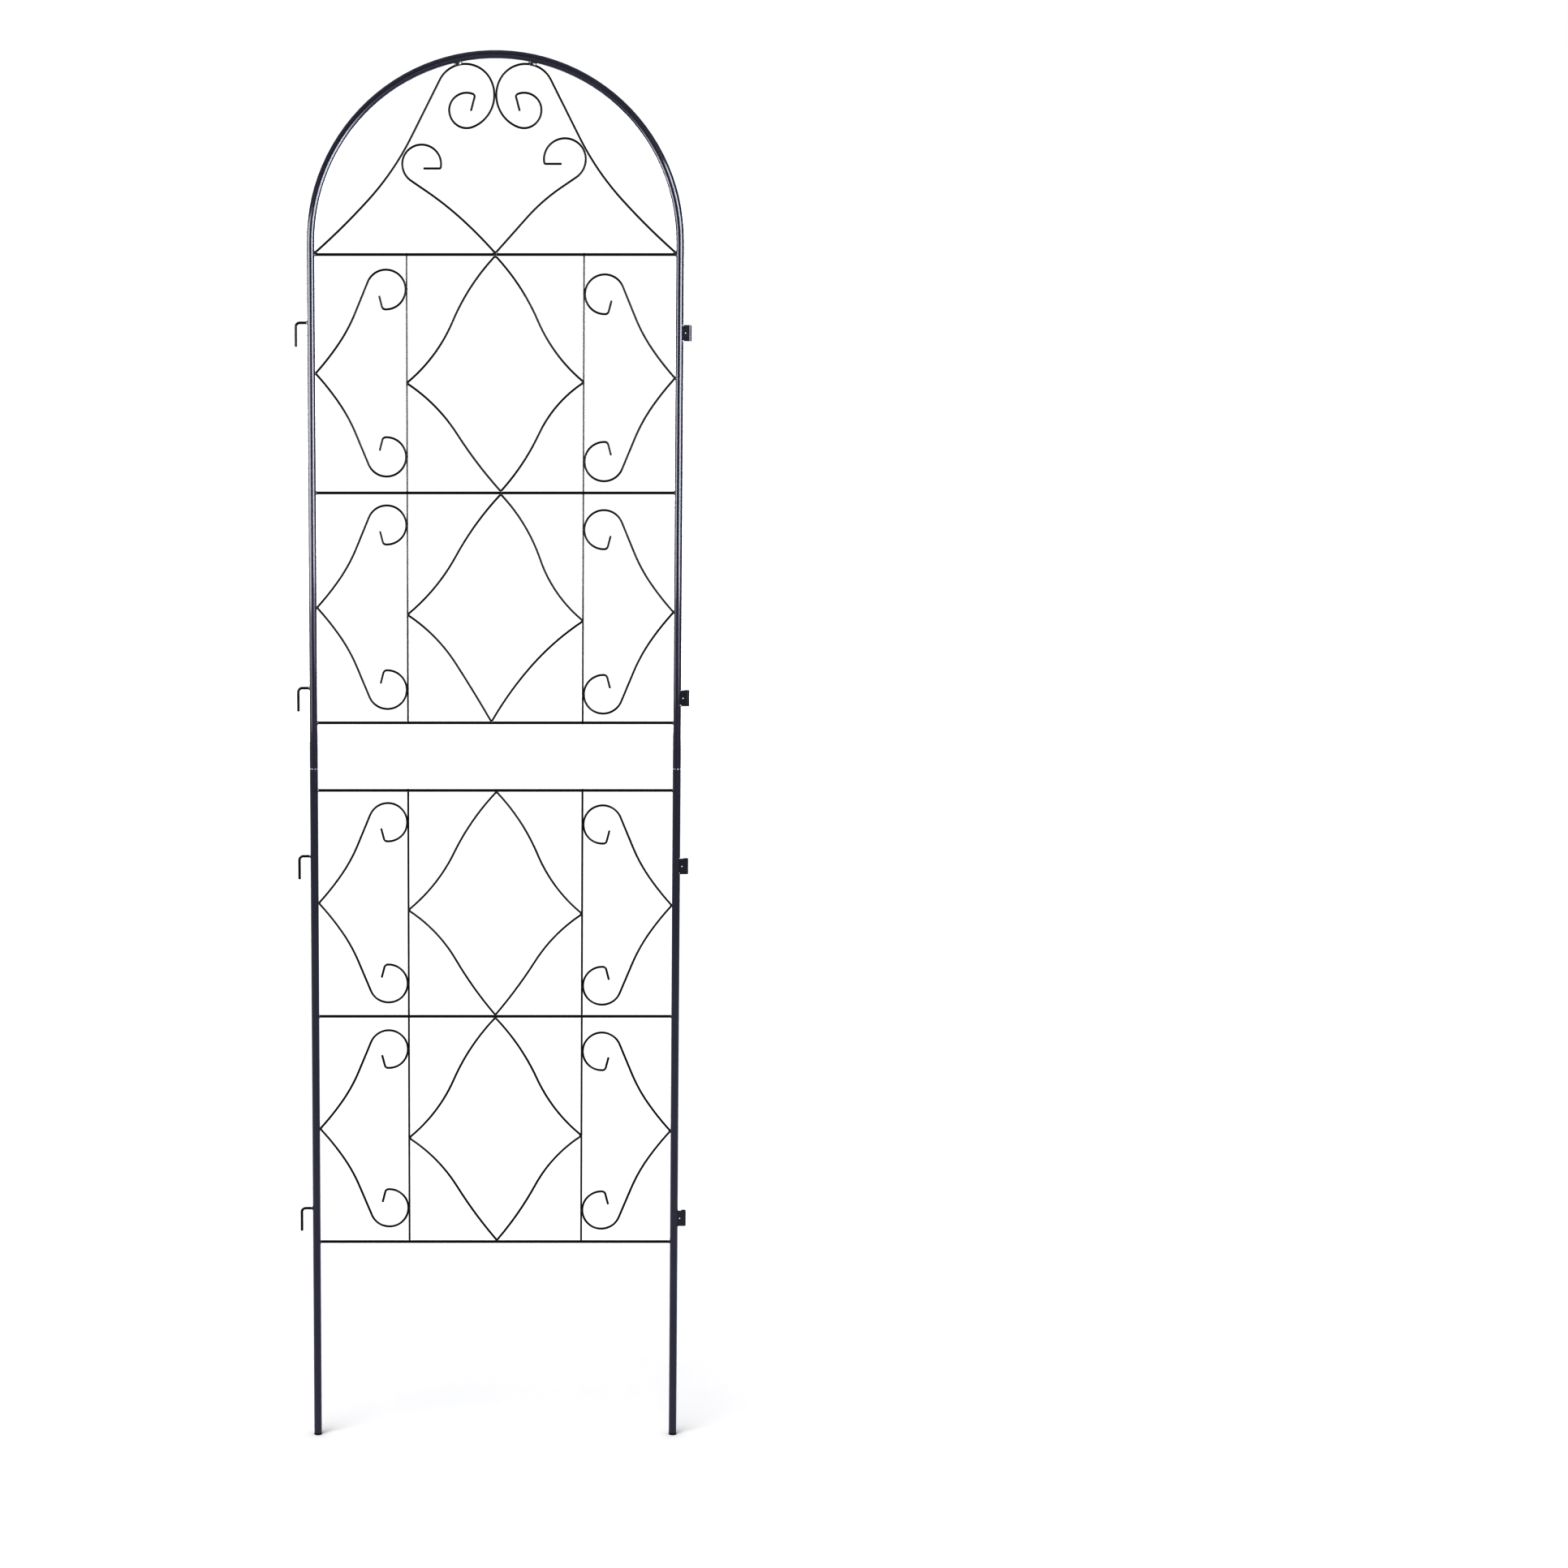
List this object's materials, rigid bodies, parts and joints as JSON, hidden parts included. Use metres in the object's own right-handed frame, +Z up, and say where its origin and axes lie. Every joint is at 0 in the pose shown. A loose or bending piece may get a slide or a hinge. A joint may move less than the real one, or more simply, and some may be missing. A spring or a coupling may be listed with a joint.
{
  "type": "garden trellis panel",
  "caption": "Tall flat garden trellis panel with a half-round top, in two plug-together sections with wire diamonds and scrolls, leg stakes, side hooks and sockets.",
  "frame": {"origin": "on the ground plane of the feet, midway between the two legs, in the plane of the tubes", "axes": "+X to the socket side, +Y to the back, where the rods are, +Z up"},
  "size_m": [0.5065, 0.01, 1.7999],
  "materials": {
    "coated_tube": "satin",
    "coated_wire": "satin",
    "coated_sheet": "satin",
    "zinc_spigot": "bright",
    "foot_plug": "matte"
  },
  "bodies": {
    "lower_section": {"left_leg_tube": "coated_tube", "right_leg_tube": "coated_tube", "left_leg_plug": "foot_plug", "right_leg_plug": "foot_plug", "left_spigot": "zinc_spigot", "right_spigot": "zinc_spigot", "lower_rail_bottom": "coated_wire", "lower_rail_middle": "coated_wire", "lower_rail_top": "coated_wire", "lower_left_rod": "coated_wire", "lower_right_rod": "coated_wire", "lower_diamond_bottom": "coated_wire", "lower_diamond_top": "coated_wire", "lower_left_scroll_bottom": "coated_wire", "lower_left_scroll_top": "coated_wire", "lower_right_scroll_bottom": "coated_wire", "lower_right_scroll_top": "coated_wire", "lower_hook_bottom": "coated_wire", "lower_hook_top": "coated_wire", "lower_socket_bottom": "coated_sheet", "lower_socket_top": "coated_sheet"},
    "upper_section": {"arch_tube": "coated_tube", "heart_scroll": "coated_wire", "left_crown_scroll": "coated_wire", "right_crown_scroll": "coated_wire", "upper_rail_bottom": "coated_wire", "upper_rail_middle": "coated_wire", "upper_rail_top": "coated_wire", "upper_left_rod": "coated_wire", "upper_right_rod": "coated_wire", "upper_diamond_bottom": "coated_wire", "upper_diamond_top": "coated_wire", "upper_left_scroll_bottom": "coated_wire", "upper_left_scroll_top": "coated_wire", "upper_right_scroll_bottom": "coated_wire", "upper_right_scroll_top": "coated_wire", "upper_hook_bottom": "coated_wire", "upper_hook_top": "coated_wire", "upper_socket_bottom": "coated_sheet", "upper_socket_top": "coated_sheet"}
  },
  "joints": [
    {"name": "upper_section_lift", "type": "slide", "parent": "lower_section", "child": "upper_section", "axis": [0, 0, 1], "range_m": [0, 0.04]}
  ]
}
